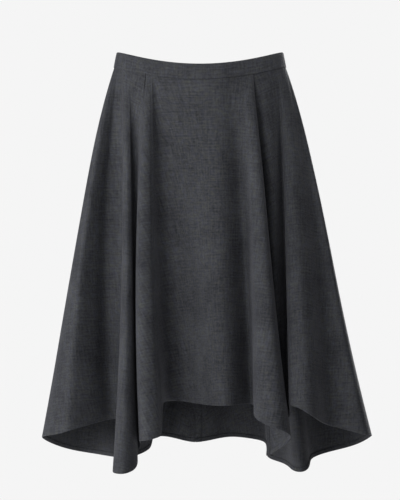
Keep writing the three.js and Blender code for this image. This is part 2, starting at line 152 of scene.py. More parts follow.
FOLDS = [dict(zip(FOLD_COLUMNS, row)) for rows in PANELS.values() for row in rows]
FOLD_NUMBER = {fold["fold"]: number for number, fold in enumerate(FOLDS)}
SPAN_COUNT = len(FOLDS)

# Soft creases in the cloth, a row each. fold, share: where in the span after that fold line it lies.
# start, end: its ends, as shares of the way from waist to hem. drift: how far it wanders sideways, in mm.
# width: of its slope on each side, and height: out of the cloth, or into it if negative, both in mm.
CREASE_COLUMNS = ("crease", "fold", "share", "start", "end", "drift", "width", "height")
CREASES = (
    ("left_side_drag", "side_left", 0.35, 0.12, 0.74, 14, 16, -1.1),
    ("left_wing_swell", "side_left", 0.72, 0.38, 0.98, -9, 20, 1.5),
    ("left_wing_trough", "wing_crest", 0.55, 0.30, 0.86, 8, 13, -0.9),
    ("left_top_pull", "wing_slope", 0.40, 0.02, 0.30, -5, 9, 0.6),
    ("left_flute_dent", "flute_a", 0.60, 0.42, 0.90, 3, 6, -0.5),
    ("left_seam_crest", "valley_3", 0.45, 0.01, 0.44, 2, 6, 1.3),
    ("centre_left_pull", "centre_left", 0.13, 0.12, 0.95, 5, 9, 1.1),
    ("centre_dip", "centre_left", 0.38, 0.26, 0.92, 4, 10, -1.2),
    ("centre_ridge", "centre", 0.12, 0.32, 1.06, -4, 17, 2.1),
    ("centre_high_dip", "centre_left", 0.84, 0.05, 0.40, -9, 15, -0.7),
    ("centre_hem_swell", "centre_left", 0.62, 0.62, 1.05, 5, 9, 0.6),
    ("centre_right_pull", "centre_right", 0.45, 0.04, 0.34, 3, 10, 0.7),
    ("right_flute_crest", "flute_c_left", 0.55, 0.10, 0.60, 4, 6, 0.6),
    ("right_flute_dent", "flute_c_front", 0.40, 0.48, 0.92, -3, 6, -0.5),
    ("right_seam_crest", "seam_right", 0.70, 0.01, 0.34, 4, 8, 1.4),
    ("right_top_dip", "valley_5", 0.30, 0.02, 0.24, -3, 7, -0.5),
    ("right_crest_swell", "flute_e", 0.30, 0.04, 0.70, 3, 8, 1.2),
    ("right_wing_trough", "valley_6", 0.45, 0.34, 0.90, 7, 12, -1.1),
    ("right_wing_swell", "valley_6", 0.80, 0.22, 0.80, -8, 14, 1.2),
    ("right_side_drag", "wing_right", 0.50, 0.14, 0.72, 9, 15, -0.9),
    ("back_side_swell", "side_right", 0.40, 0.20, 0.85, -9, 18, 1.3),
    ("back_side_dip", "side_right", 0.75, 0.10, 0.62, 10, 15, -0.9),
    ("back_groove_crest", "back_right", 0.60, 0.32, 0.92, 5, 12, 0.8),
    ("back_ridge_dent", "ridge_right", 0.30, 0.40, 0.95, -4, 9, -0.7),
    ("back_middle_dip", "back_middle", 0.40, 0.30, 0.96, 6, 12, -1.2),
    ("back_middle_swell", "back_middle", 0.75, 0.44, 0.90, -4, 10, 0.9),
    ("zip_foot_pull", "centre_back", 0.35, 0.24, 0.50, 6, 8, -0.6),
    ("back_left_swell", "valley_back_left", 0.40, 0.26, 0.88, -10, 18, 1.3),
    ("back_left_dip", "back_left", 0.35, 0.12, 0.70, 11, 16, -1.0),
    ("back_left_pull", "back_left", 0.70, 0.36, 0.94, -7, 14, 1.0),
)

# An edge of cloth turned under: distance in from the edge, and depth behind the face, in mm.
TURNED_EDGE = ((0.75, 0.0), (0.4, 0.06), (0.14, 0.22), (0.02, 0.5), (0.14, 0.8), (0.5, 0.95))
# The turned cloth beyond, pressed flat: share of its width, and depth behind the face, in mm.
PRESSED = ((0.2, 0.95), (0.4, 0.88), (0.6, 0.78), (0.8, 0.66), (1.0, 0.52))
# What a panel turns in under the waistband, and how far its edges stay from a seam line, in mm.
TURNED_TOP = (2.5, 0.95)
SEAM_CLEAR = 0.22
WAIST_CLEAR = 0.25
# A column of a panel's grid takes up at most this many degrees of the hem's turn, or millimetres of hem.
COLUMN_TURN = 9
COLUMN_WIDTH = 7
COLUMNS_AT_LEAST = 6

# Zip. Levels down it: rises over the waist seam in mm, then shares of the centre back seam, as negatives.
ZIP_LEVELS = (20.0, 19.6, 16.0, 12.0, 8.0, 4.0, 1.0) + tuple(-0.01 - 0.0125 * k for k in range(22))
# How far the tapes lie behind the cloth, in mm, and how far the coil's middle lies behind the tapes.
TAPE_BEHIND_BAND = 2.3
TAPE_BEHIND_PANEL = 1.75
COIL_BEHIND_TAPE = 1.0
# A tape's section in mm: distance out from the zip's middle, and how far the tape curls inward there.
# The outer edge is counted from the tape's width.
TAPE_SECTION = ((0.7, 0.5), (1.0, 0.25), (1.6, 0.05), (3.0, 0.0), (5.5, 0.0), (8.0, 0.0), (10.5, 0.0))
TAPE_OUTER_EDGE = ((0.0, 0.0), (0.6, 0.1))
# One turn of the coil in mm: width, depth and height, how far its middle is off the centre, and its rounding.
COIL_TURN = (2.3, 1.3, 0.62)
COIL_OFFSET = 0.75
COIL_ROUNDING = 0.22

# Square soft lights, aimed at a point in the skirt's middle: name, azimuth in degrees from the front to the
# right, elevation in degrees, and distance and size in metres. The settings give each one's power.
LAMPS = (
    ("Key", -34, 8, 3.6, 1.6),
    ("Side", -77, 8, 3.6, 1.6),
    ("Between", -62, 8, 3.6, 1.6),
    ("Front", -5, 0, 3.6, 1.6),
    ("Near", 50, 58, 0.75, 0.35),
    ("Back", 160, 15, 3.6, 1.6),
)
LAMP_AIM = (0, 0, -0.3)
FLOOR_RADIUS = 2.6

# Waves that the wave texture draws to one unit at scale 1.
WAVES_TO_A_UNIT = 3.18


# The fold surface


def seam_height(angle):
    """The waist seam's height: highest at the sides, and lowest in the middle of the front."""
    cosine = np.cos(np.radians(angle))
    return -np.where(cosine > 0, FRONT_DIP, BACK_DIP) * cosine * cosine


def waist_point(angle, rise=0.0):
    """A point of the waist oval, raised over the seam along the waistband's lean."""
    turn = np.radians(angle)
    width = WAIST_HALF_WIDTH - BAND_LEAN_WIDTH * rise / BAND_HEIGHT
    depth = WAIST_HALF_DEPTH - BAND_LEAN_DEPTH * rise / BAND_HEIGHT
    x, y = width * np.sin(turn), -depth * np.cos(turn)
    return np.stack(np.broadcast_arrays(x, y, seam_height(angle) + rise), -1)


def waist_direction(angle):
    """The way round the waist seam in plan, in millimetres to a radian."""
    turn = np.radians(angle)
    return np.stack((WAIST_HALF_WIDTH * np.cos(turn), WAIST_HALF_DEPTH * np.sin(turn), 0 * turn), -1)


def spread_at(drop):
    """How much of a fold line's way outward is done at a drop from the waist, 0, to the lowest level, 1."""
    return drop + HIP_SPREAD * drop * (1 - drop) ** 3


def bulge_at(drop):
    return 4 * drop * (1 - drop)


def reach_point(fold):
    """The fold line carried on down to the lowest level, so that the hem only cuts the form."""
    waist = waist_point(fold["angle"])
    drop = (waist[2] - fold["z"]) / (waist[2] - LOWEST)
    bulge = bulge_at(drop)
    x = waist[0] + (fold["x"] - fold["bow"] * bulge - waist[0]) / spread_at(drop)
    y = waist[1] + (fold["y"] - fold["swell"] * bulge - waist[1]) / spread_at(drop)
    return np.array((x, y, fold["z"]))


def plan_distance(p, q):
    return math.hypot(q[0] - p[0], q[1] - p[1])


def make_spans():
    """Cubic curves from each fold line to the next: angles at the waist, points at the lowest level."""
    waists = [waist_point(fold["angle"]) for fold in FOLDS]
    feet = [reach_point(fold) for fold in FOLDS]
    ends = []
    for i, fold in enumerate(FOLDS):
        before, after = (i - 1) % SPAN_COUNT, (i + 1) % SPAN_COUNT
        coming = (feet[i][2] - feet[before][2]) / plan_distance(feet[before], feet[i])
        going = (feet[after][2] - feet[i][2]) / plan_distance(feet[i], feet[after])
        slope = 0.0 if coming * going <= 0 else 2 * coming * going / (coming + going)
        # Waist seam, in mm, that goes with each millimetre of handle at the hem.
        share = min(
            plan_distance(waists[before], waists[i]) / (HANDLES_TO_A_SPAN * fold["before"]),
            plan_distance(waists[i], waists[after]) / (HANDLES_TO_A_SPAN * fold["after"]),
        )
        heading = math.radians(fold["heading"])
        direction = np.array((math.cos(heading), math.sin(heading), slope))
        ends.append((direction, math.degrees(share) / np.linalg.norm(waist_direction(fold["angle"]))))
    angles, reach = [], []
    for i, fold in enumerate(FOLDS):
        after = (i + 1) % SPAN_COUNT
        other = FOLDS[after]
        end_angle = other["angle"] + (360 if after == 0 else 0)
        first = fold["angle"] + ends[i][1] * fold["after"]
        second = end_angle - ends[after][1] * other["before"]
        angles.append((fold["angle"], first, second, end_angle))
        ahead = feet[i] + ends[i][0] * fold["after"]
        behind = feet[after] - ends[after][0] * other["before"]
        reach.append((feet[i], ahead, behind, feet[after]))
    return np.array(angles, float), np.array(reach, float)


SPAN_ANGLES, SPAN_REACH = make_spans()
BOWS = np.array([fold["bow"] for fold in FOLDS], float)
SWELLS = np.array([fold["swell"] for fold in FOLDS], float)


def folded_point(u, t):
    """Cloth before softening: u counts spans round the body, and t goes from the waist, 0, to the hem, 1."""
    u = np.mod(u, SPAN_COUNT)
    i = np.minimum(u.astype(int), SPAN_COUNT - 1)
    after = (i + 1) % SPAN_COUNT
    s = u - i
    r = 1 - s
    weights = np.stack((r**3, 3 * s * r * r, 3 * s * s * r, s**3), -1)
    waist = waist_point((weights * SPAN_ANGLES[i]).sum(-1))
    reach = (weights[..., None] * SPAN_REACH[i]).sum(-2)
    z = waist[..., 2] + (reach[..., 2] - waist[..., 2]) * t
    drop = (waist[..., 2] - z) / (waist[..., 2] - LOWEST)
    spread, bulge = spread_at(drop), bulge_at(drop)
    blend = s * s * (3 - 2 * s)
    bow = BOWS[i] + (BOWS[after] - BOWS[i]) * blend
    swell = SWELLS[i] + (SWELLS[after] - SWELLS[i]) * blend
    x = waist[..., 0] + (reach[..., 0] - waist[..., 0]) * spread + bow * bulge
    y = waist[..., 1] + (reach[..., 1] - waist[..., 1]) * spread + swell * bulge
    return np.stack((x, y, z), -1)


def smooth_step(value):
    value = np.clip(value, 0, 1)
    return value * value * (3 - 2 * value)


def cloth_point(u, t):
    """The middle of the cloth: a weighted mean of five points across the folds."""
    u, t = np.broadcast_arrays(np.asarray(u, float), np.asarray(t, float))
    ease = FOLD_EASE * smooth_step(t / EASE_START)
    total = sum(SOFTENING)
    return sum(weight / total * folded_point(u + ease * step, t) for step, weight in enumerate(SOFTENING, -2))


def unit(vectors):
    return vectors / np.linalg.norm(vectors, axis=-1, keepdims=True)


def run_along(points):
    """The way covered at each point of a line, from its start."""
    return np.concatenate(([0], np.cumsum(np.linalg.norm(np.diff(points, axis=0), axis=-1))))


def cloth_normal(u, t):
    around = cloth_point(u + AROUND_STEP, t) - cloth_point(u - AROUND_STEP, t)
    down = cloth_point(u, np.minimum(1, t + DOWN_STEP)) - cloth_point(u, np.maximum(0, t - DOWN_STEP))
    return unit(np.cross(down, around))


def cloth_speed(u, t):
    """Millimetres of cloth to one span, going round the body."""
    around = cloth_point(u + AROUND_STEP, t) - cloth_point(u - AROUND_STEP, t)
    return np.linalg.norm(around, axis=-1) / (2 * AROUND_STEP)


def crease_height(u, t):
    """How far the creases lift the cloth, in millimetres."""
    u, t = np.broadcast_arrays(u, t)
    height = np.zeros(u.shape)
    # The width of a span is measured at these levels only, and read off between them.
    levels = np.linspace(0.04, 1, 25)
    for row in CREASES:
        crease = dict(zip(CREASE_COLUMNS, row))
        place = FOLD_NUMBER[crease["fold"]] + crease["share"]
        along = (t - crease["start"]) / (crease["end"] - crease["start"])
        speed = np.interp(t, levels, cloth_speed(place, levels))
        across = (np.mod(u - place + SPAN_COUNT / 2, SPAN_COUNT) - SPAN_COUNT / 2) * speed
        away = across - crease["drift"] * (along - 0.5)
        fade = np.sin(np.clip(along, 0, 1) * math.pi) ** 1.5
        height += crease["height"] * fade * np.exp(-((away / crease["width"]) ** 2))
    return height


def inset_columns(edge, way, distances, t):
    """The u at each distance in from a panel's edge, for every row, found by stepping along the cloth."""
    u, done, columns = np.full(t.shape, float(edge)), 0.0, []
    for distance in distances:
        u = u + way * (distance - done) / cloth_speed(u, t)
        done = distance
        columns.append(u)
    return np.stack(columns, -1)


# Mesh and material helpers


def linear(hex_colour):
    """An sRGB hex colour as linear red, green, blue and alpha."""
    parts = [int(hex_colour[k : k + 2], 16) / 255 for k in (1, 3, 5)]
    return tuple(c / 12.92 if c <= 0.04045 else ((c + 0.055) / 1.055) ** 2.4 for c in parts) + (1.0,)


def add_node(tree, kind, inputs, output=0, **fields):
    """Adds a shader node and returns one of its outputs. An input takes a value, or a socket to link."""
    node = tree.nodes.new("ShaderNode" + kind)
    for name, value in fields.items():
        setattr(node, name, value)
    for name, value in inputs.items():
        if isinstance(value, bpy.types.NodeSocket):
            tree.links.new(value, node.inputs[name])
        else:
            node.inputs[name].default_value = value
    return node.outputs[output] if node.outputs else None


def new_material(name):
    material = bpy.data.materials.new(name)
    material.use_nodes = True
    material.node_tree.nodes.clear()
    return material, material.node_tree


def grid_piece(name, points, cut, thickness):
    """A sheet made from a grid whose corners are moved to rows of points, in millimetres."""
    rows, columns = points.shape[:2]
    mesh = bpy.data.meshes.new(name)
    bm = bmesh.new()
    bmesh.ops.create_grid(bm, x_segments=columns - 1, y_segments=rows - 1, size=1.0)
    layer = bm.loops.layers.uv.new("cut")
    places = {}
    for vert in bm.verts:
        column = round((vert.co.x + 1) / 2 * (columns - 1))
        row = round((1 - vert.co.y) / 2 * (rows - 1))
        places[vert.index] = (row, column)
    for vert in bm.verts:
        vert.co = Vector(points[places[vert.index]]) * MM
    for face in bm.faces:
        face.smooth = True
        for loop in face.loops:
            loop[layer].uv = Vector(cut[places[loop.vert.index]]) * MM
    bm.to_mesh(mesh)
    bm.free()
    piece = bpy.data.objects.new(name, mesh)
    bpy.context.collection.objects.link(piece)
    wall = piece.modifiers.new("Cloth thickness", "SOLIDIFY")
    wall.thickness = thickness * MM
    wall.offset = 0.0
    return piece


def finish_piece(piece, slot, material, *nodes):
    piece.data.materials.append(material)
    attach(piece, "skirt")
    if nodes:
        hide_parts(*nodes)
    return piece


# Materials


def suiting_material(name, settings):
    """Worsted wool suiting, plain woven from mixed light and dark fibres, lightly pressed.

    The mix gives the eye a soft grey with short flecks along both threads, and a low bloom at grazing angles.
    The flecks are drawn 2.4 mm wide, coarser than real threads 0.45 mm apart, so that they show.
    """
    material, tree = new_material(name)
    cut = add_node(tree, "UVMap", {}, "UV", uv_map="cut")

    def flecks(width, length, detail=2.0, roughness=0.6):
        """Cloudy noise, drawn out to a width across and a length along the cut, in mm."""
        scale = (1 / (width * MM), 1 / (length * MM), 1)
        place = add_node(tree, "Mapping", {"Vector": cut, "Scale": scale})
        noise = {"Vector": place, "Scale": 1.0, "Detail": detail, "Roughness": roughness}
        return add_node(tree, "TexNoise", noise)

    thin, long = 2.4, 26.0
    threads = add_node(tree, "Math", {0: flecks(thin, long), 1: flecks(long, thin)}, operation="ADD")
    clouds = add_node(tree, "Math", {0: flecks(60.0, 75.0, 3.0, 0.55), 1: flecks(3.2, 3.0)}, operation="ADD")
    # The four noises add up to about 2.
    four = add_node(tree, "Math", {0: threads, 1: clouds}, operation="ADD")
    share = add_node(tree, "MapRange", {"Value": four, "From Min": 1.55, "From Max": 2.45})
    patches = flecks(7.0, 6.0, 3.0, 0.7)
    warmth = add_node(tree, "MapRange", {"Value": patches, "From Min": 0.35, "From Max": 0.65})
    fibres = {0: warmth, 6: (*settings.light, 1), 7: (*settings.warm, 1)}
    pale = add_node(tree, "Mix", fibres, 2, data_type="RGBA")
    tint = add_node(tree, "Mix", {0: share, 6: (*settings.dark, 1), 7: pale}, 2, data_type="RGBA")

    ribs = {"Vector": cut, "Scale": 1 / (settings.thread_spacing * WAVES_TO_A_UNIT)}
    across = add_node(tree, "TexWave", ribs, bands_direction="X")
    along = add_node(tree, "TexWave", ribs, bands_direction="Y")
    weave = add_node(tree, "Math", {0: across, 1: along}, operation="MULTIPLY")
    height = add_node(tree, "Math", {0: weave, 1: threads}, operation="ADD")
    cloth = {
        "Base Color": tint,
        "Normal": add_node(tree, "Bump", {"Height": height, "Strength": 0.5, "Distance": 0.18 * MM}),
        "Roughness": settings.roughness,
        "Specular IOR Level": 0.3,
        "Sheen Weight": settings.bloom,
        "Sheen Roughness": 0.45,
        "Sheen Tint": linear("#c9c9d6"),
    }
    add_node(tree, "OutputMaterial", {"Surface": add_node(tree, "BsdfPrincipled", cloth)})
    return material


def tape_material():
    """Polyester zip tape, woven in a fine rib, dyed near black: matt. Its faint lines along its length are
    painted shade, darker in the grooves between the ribs and lighter on their tops.
    """
    material, tree = new_material("polyester zip tape woven")
    cut = add_node(tree, "UVMap", {}, "UV", uv_map="cut")
    rib_spacing, weft_spacing = 0.9 * MM, 0.6 * MM
    ribs = {"Vector": cut, "Scale": 1 / (rib_spacing * WAVES_TO_A_UNIT)}
    rib_and_groove_shade = add_node(tree, "TexWave", ribs, bands_direction="X")
    wefts = {"Vector": cut, "Scale": 1 / (weft_spacing * WAVES_TO_A_UNIT)}
    weft = add_node(tree, "TexWave", wefts, bands_direction="Y")
    height = add_node(tree, "Math", {0: rib_and_groove_shade, 1: weft}, operation="ADD")
    # The rib wave also tints the tape: painted shade in the grooves between the ribs, painted light on the
    # rib tops.
    colours = {0: rib_and_groove_shade, 6: linear("#222225"), 7: linear("#303034")}
    tape = {
        "Base Color": add_node(tree, "Mix", colours, 2, data_type="RGBA"),
        "Normal": add_node(tree, "Bump", {"Height": height, "Strength": 0.6, "Distance": 0.1 * MM}),
        "Roughness": 0.85,
    }
    add_node(tree, "OutputMaterial", {"Surface": add_node(tree, "BsdfPrincipled", tape)})
    return material


def coil_material():
    """Nylon zip coil, extruded and dyed: smooth, with a soft gloss on each turn."""
    material, tree = new_material("nylon zip coil extruded")
    place = add_node(tree, "TexCoord", {}, "Object")
    patches = add_node(tree, "TexNoise", {"Vector": place, "Scale": 300.0, "Detail": 1.0})
    colours = {0: patches, 6: linear("#1d1d20"), 7: linear("#2c2c30")}
    nylon = {"Base Color": add_node(tree, "Mix", colours, 2, data_type="RGBA"), "Roughness": 0.42}
    add_node(tree, "OutputMaterial", {"Surface": add_node(tree, "BsdfPrincipled", nylon)})
    return material


def zip_metal_material():
    """Die-cast zinc, lacquered dark: a soft metal gloss, a little worn where fingers hold it."""
    material, tree = new_material("zinc alloy die-cast lacquered")
    place = add_node(tree, "TexCoord", {}, "Object")
    wear = add_node(tree, "TexNoise", {"Vector": place, "Scale": 420.0, "Detail": 4.0})
    colours = {0: wear, 6: linear("#2b2b30"), 7: linear("#4a4a52")}
    metal = {
        "Base Color": add_node(tree, "Mix", colours, 2, data_type="RGBA"),
        "Roughness": add_node(tree, "MapRange", {"Value": wear, "To Min": 0.32, "To Max": 0.52}),
        "Normal": add_node(tree, "Bump", {"Height": wear, "Strength": 0.15, "Distance": 0.05 * MM}),
        "Metallic": 0.85,
    }
    add_node(tree, "OutputMaterial", {"Surface": add_node(tree, "BsdfPrincipled", metal)})
    return material


def floor_material():
    """Emulsion paint, rolled: pale and matt, with a faint roller texture."""
    material, tree = new_material("emulsion paint rolled")
    place = add_node(tree, "TexCoord", {}, "Object")
    grain = add_node(tree, "TexNoise", {"Vector": place, "Scale": 60.0, "Detail": 3.0})
    colours = {0: grain, 6: linear("#ededed"), 7: linear("#f3f3f3")}
    paint = {
        "Base Color": add_node(tree, "Mix", colours, 2, data_type="RGBA"),
        "Normal": add_node(tree, "Bump", {"Height": grain, "Strength": 0.1, "Distance": 1.0 * MM}),
        "Roughness": 0.9,
    }
    add_node(tree, "OutputMaterial", {"Surface": add_node(tree, "BsdfPrincipled", paint)})
    return material


# Settings that a user would change


class SkirtCloth(bpy.types.PropertyGroup):
    """Sizes and looks of the panels' cloth."""

    thickness: FloatProperty(
        name="Cloth thickness", description="Thickness of the suiting, in mm", default=0.5, min=0.2, max=1.5
    )
    hem_width: FloatProperty(
        name="Hem", description="Width of the turned-up hem, in mm", default=6.5, min=4.0, max=40.0
    )
    allowance: FloatProperty(
        name="Seam allowance",
        description="Width of cloth pressed open behind a seam, in mm",
        default=10.0,
        min=4.0,
    )
    rows: IntProperty(name="Rows", description="Grid rows from waist to hem", default=56, min=12, max=120)
    dark: FloatVectorProperty(
        name="Dark fibres",
        description="Colour of the dark fibres",
        subtype="COLOR",
        default=linear("#1e1f24")[:3],
    )
    light: FloatVectorProperty(
        name="Light fibres",
        description="Colour of the cool light fibres",
        subtype="COLOR",
        default=linear("#3f414b")[:3],
    )
    warm: FloatVectorProperty(
        name="Warm fibres",
        description="Colour of the warm light fibres",
        subtype="COLOR",
        default=linear("#434441")[:3],
    )
    roughness: FloatProperty(
        name="Roughness", description="Roughness of the pressed cloth", default=0.85, min=0, max=1
    )
    bloom: FloatProperty(name="Bloom", description="Sheen of loose fibres", default=0.12, min=0, max=1)
    thread_spacing: FloatProperty(
        name="Thread spacing",
        description="Distance from one thread to the next",
        default=0.00045,
        unit="LENGTH",
        precision=5,
    )


class SkirtBand(bpy.types.PropertyGroup):
    """Sizes of the waistband."""

    height: FloatProperty(
        name="Height", description="Height of the waistband, in mm", default=BAND_HEIGHT, min=10.0
    )
    columns: IntProperty(name="Columns", description="Grid columns round the waist", default=200, min=48)


class SkirtZip(bpy.types.PropertyGroup):
    """Sizes of the zip."""

    tape_width: FloatProperty(
        name="Tape width", description="Width of one zip tape, in mm", default=12.0, min=6.0
    )
    tape_thickness: FloatProperty(
        name="Tape thickness", description="Thickness of the zip tapes, in mm", default=0.8, min=0.3
    )
    coil_pitch: FloatProperty(
        name="Coil pitch", description="Distance between turns, in mm", default=1.4, min=0.8
    )


class SkirtStage(bpy.types.PropertyGroup):
    """Camera, light and floor."""

    camera_distance: FloatProperty(
        name="Camera distance", description="From the waist's middle", default=3.2, unit="LENGTH"
    )
    camera_height: FloatProperty(
        name="Camera height", description="Against the waist seam", default=-0.2785, unit="LENGTH"
    )
    picture_height: FloatProperty(
        name="Picture height",
        description="Height of the view at the waist's distance",
        default=0.765,
        unit="LENGTH",
    )
    floor_height: FloatProperty(
        name="Floor height", description="Floor under a standing wearer", default=-1.04, unit="LENGTH"
    )
    sky: FloatProperty(name="Room light", description="Strength of the even room light", default=0.08, min=0)
    key: FloatProperty(
        name="Key light", description="Large, from the front left", default=75.0, min=0, unit="POWER"
    )
    side: FloatProperty(
        name="Side light", description="Large, from the left", default=54.0, min=0, unit="POWER"
    )
    between: FloatProperty(
        name="Fill light", description="Large, between key and side", default=27.0, min=0, unit="POWER"
    )
    front: FloatProperty(
        name="Front light", description="Large, from the front", default=12.5, min=0, unit="POWER"
    )
    near: FloatProperty(
        name="Near light",
        description="Small, above the waist at the front right",
        default=1.2,
        min=0,
        unit="POWER",
    )
    back: FloatProperty(
        name="Back light", description="Large, on the hidden side", default=110.0, min=0, unit="POWER"
    )


# Pieces


def turned_under(width):
    """Distances in from an edge, and depths, of cloth that is turned under and pressed over a width."""
    return np.array(TURNED_EDGE + tuple((width * share, deep) for share, deep in PRESSED))


def panel_grid(first, last, settings):
    """Rows and columns of points of one panel, and where each lies on the flat cut."""
    columns = []
    for i in range(first, last):
        fold, other = FOLDS[i % SPAN_COUNT], FOLDS[(i + 1) % SPAN_COUNT]
        turn = abs((other["heading"] - fold["heading"] + 540) % 360 - 180)
        width = math.hypot(other["x"] - fold["x"], other["y"] - fold["y"])
        count = max(COLUMNS_AT_LEAST, math.ceil(math.hypot(turn / COLUMN_TURN, width / COLUMN_WIDTH)))
        columns += [i + k / count for k in range(count)]
    columns = np.array(columns[1:])

    turned = turned_under(settings.allowance)
    edge_in, edge_deep = turned[:, 0] + SEAM_CLEAR, turned[:, 1]
    edge = np.ones(len(turned))
    u_base = np.concatenate((first * edge, columns, last * edge))
    distance = np.concatenate((edge_in[::-1], 0 * columns, -edge_in))
    column_depth = np.concatenate((edge_deep[::-1], 0 * columns, edge_deep))

    hem = turned_under(settings.hem_width)
    top = np.array((*TURNED_EDGE, TURNED_TOP))
    shares = np.linspace(0, 1, settings.rows + 1)[1:-1]
    t_base = np.concatenate((0 * top[:, 0], shares, 1 + 0 * hem[:, 0]))
    rise = np.concatenate((top[::-1, 0] + WAIST_CLEAR, 0 * shares, -hem[:, 0]))
    row_depth = np.concatenate((top[::-1, 1], 0 * shares, hem[:, 1]))

    length = np.linalg.norm(cloth_point(u_base, 1.0) - cloth_point(u_base, 0.0), axis=-1)
    t = np.clip(t_base[:, None] + rise[:, None] / length[None, :], 0, 1)
    left = inset_columns(first, 1, edge_in, t[:, 0])[:, ::-1]
    right = inset_columns(last, -1, edge_in, t[:, -1])
    u = np.concatenate((left, np.broadcast_to(columns, (len(t), len(columns))), right), -1)
    depth = row_depth[:, None] + column_depth[None, :] - crease_height(u, t)
    points = cloth_point(u, t) - cloth_normal(u, t) * depth[..., None]

    # The flat cut is part of a ring: the grain runs down the panel's middle.
    hem_run, waist_run = run_along(cloth_point(u_base, 1.0)), run_along(cloth_point(u_base, 0.0))
    mean_length = length.mean()
    opening = (hem_run[-1] - waist_run[-1]) / mean_length
    inner_reach = waist_run[-1] / opening
    bearing = ((hem_run / hem_run[-1] + waist_run / waist_run[-1]) / 2 - 0.5) * opening
    reach = inner_reach + t_base[:, None] * length[None, :] + np.where(t_base > 0.5, -rise, rise)[:, None]
    side = bearing[None, :] + (np.sign(u_base - (first + last) / 2) * np.abs(distance))[None, :] / reach
    cut = np.stack((reach * np.sin(side), -reach * np.cos(side)), -1)
    return points, cut


class SKIRT_OT_panels(bpy.types.Operator):
    """Make the five flared panels, with their hem turned up and their seams pressed open"""

    bl_idname = "skirt.panels"
    bl_label = "Panels"

    def execute(self, context):
        settings = context.scene.skirt_cloth
        material = suiting_material("worsted wool suiting woven", settings)
        first = 0
        for name, rows in PANELS.items():
            last = first + len(rows)
            points, cut = panel_grid(first, last, settings)
            piece = grid_piece(f"{name}_cloth", points, cut, settings.thickness)
            finish_piece(piece, "suiting", material, name)
            first = last
        return {"FINISHED"}


class SKIRT_OT_waistband(bpy.types.Operator):
    """Make the waistband: one strip folded over at the top and open at the centre back"""

    bl_idname = "skirt.waistband"
    bl_label = "Waistband"

    def execute(self, context):
        cloth, band = context.scene.skirt_cloth, context.scene.skirt_band
        material = suiting_material("worsted wool suiting pressed", cloth)
        top = band.height
        # Once round the folded strip, from the turned seam edge outside, over the top, to the one inside:
        # rise over the waist seam, and distance out from it, in mm.
        section = np.array(
            (
                (2.4, 0.05),
                (0.7, 0.05),
                (0.3, 0.14),
                (0.1, 0.4),
                (0.26, 0.72),
                (0.8, 0.84),
                (top * 0.12, 0.9),
                (top * 0.3, 0.98),
                (top * 0.5, 1.0),
                (top * 0.7, 0.96),
                (top * 0.88, 0.86),
                (top - 0.9, 0.78),
                (top - 0.35, 0.6),
                (top - 0.06, 0.25),
                (top, -0.2),
                (top - 0.06, -0.6),
                (top - 0.35, -0.95),
                (top - 0.9, -1.12),
                (top * 0.7, -1.15),
                (top * 0.3, -1.15),
                (0.8, -1.15),
                (0.3, -1.0),
                (0.3, -0.75),
                (2.4, -0.6),
            )
        )
        steps = np.linspace(-180, 180, band.columns + 1)[1:-1]
        # How the strip opens from its closed ends: distance from the centre back, and share of the section.
        ends = np.array(((0.45, 0.0), (0.5, 0.55), (0.66, 0.84), (0.95, 1.0)))
        degrees_to_a_mm = np.degrees(1 / np.linalg.norm(waist_direction(np.array(180.0))))
        inward = ends[:, 0] * degrees_to_a_mm
        angles = np.concatenate((-180 + inward, steps, 180 - inward[::-1]))
        open_share = np.concatenate((ends[:, 1], 1 + 0 * steps, ends[::-1, 1]))
        rise = section[:, 0][:, None] + 0 * angles[None, :]
        face = np.sin(np.clip(rise / top, 0, 1) * math.pi)
        ripple = sum(
            height * np.sin(np.radians(angles * waves + start)) for height, waves, start in BAND_RIPPLES
        )
        offset = section[:, 1][:, None] * open_share[None, :] + ripple[None, :] * face
        along = waist_direction(angles)
        outward = unit(np.stack((along[:, 1], -along[:, 0], 0 * angles), -1))
        points = waist_point(angles[None, :], rise) + outward[None] * offset[..., None]
        outer_middle = points[8]
        run, drop = run_along(outer_middle), run_along(section)
        cut = np.stack(np.broadcast_arrays(run[None, :], drop[:, None]), -1)
        piece = grid_piece("waistband_cloth", points[::-1], cut[::-1], cloth.thickness)
        finish_piece(piece, "waistband_suiting", material, "waistband")
        return {"FINISHED"}


def behind_back(x, level, inset):
    """A point inside the centre back, at x and a level: a rise over the seam, or minus a share below it."""
    if level >= 0:
        angle = 180 - math.degrees(math.asin(x / WAIST_HALF_WIDTH))
        along = waist_direction(np.array(float(angle)))
        outward = unit(np.array((along[1], -along[0], 0.0)))
        return waist_point(np.array(float(angle)), level) - outward * inset
    # The u that has this x is found by halving a stretch of the spans beside the seam.
    low, high = FOLD_NUMBER["centre_back"] - 1.5, FOLD_NUMBER["centre_back"] + 1.5
    for _ in range(30):
        middle = (low + high) / 2
        if cloth_point(middle, -level)[0] > x:
            low = middle
        else:
            high = middle
    u, t = np.array(low), np.array(-level)
    return cloth_point(u, t) - cloth_normal(u, t) * inset


def tape_inset(level):
    return TAPE_BEHIND_BAND if level >= 0 else TAPE_BEHIND_PANEL


class SKIRT_OT_zip_tapes(bpy.types.Operator):
    """Make the two woven tapes of the concealed zip"""

    bl_idname = "skirt.zip_tapes"
    bl_label = "Zip tapes"

    def execute(self, context):
        settings = context.scene.skirt_zip
        material = tape_material()
        outer_edge = [(settings.tape_width + out, curl) for out, curl in TAPE_OUTER_EDGE]
        for name, side in (("zip_tape_right", 1), ("zip_tape_left", -1)):
            section = np.array((*TAPE_SECTION, *outer_edge)[::-side])
            points = np.array(
                [
                    [behind_back(side * x, level, tape_inset(level) + curl) for x, curl in section]
                    for level in ZIP_LEVELS
                ]
            )
            flat_column = points[:, 3]
            run = run_along(flat_column)
            cut = np.stack(np.broadcast_arrays(section[:, 0][None, :], -run[:, None]), -1)
            piece = grid_piece(f"{name}_woven", points, cut, settings.tape_thickness)
            finish_piece(piece, "zip_tape", material, name)
        return {"FINISHED"}


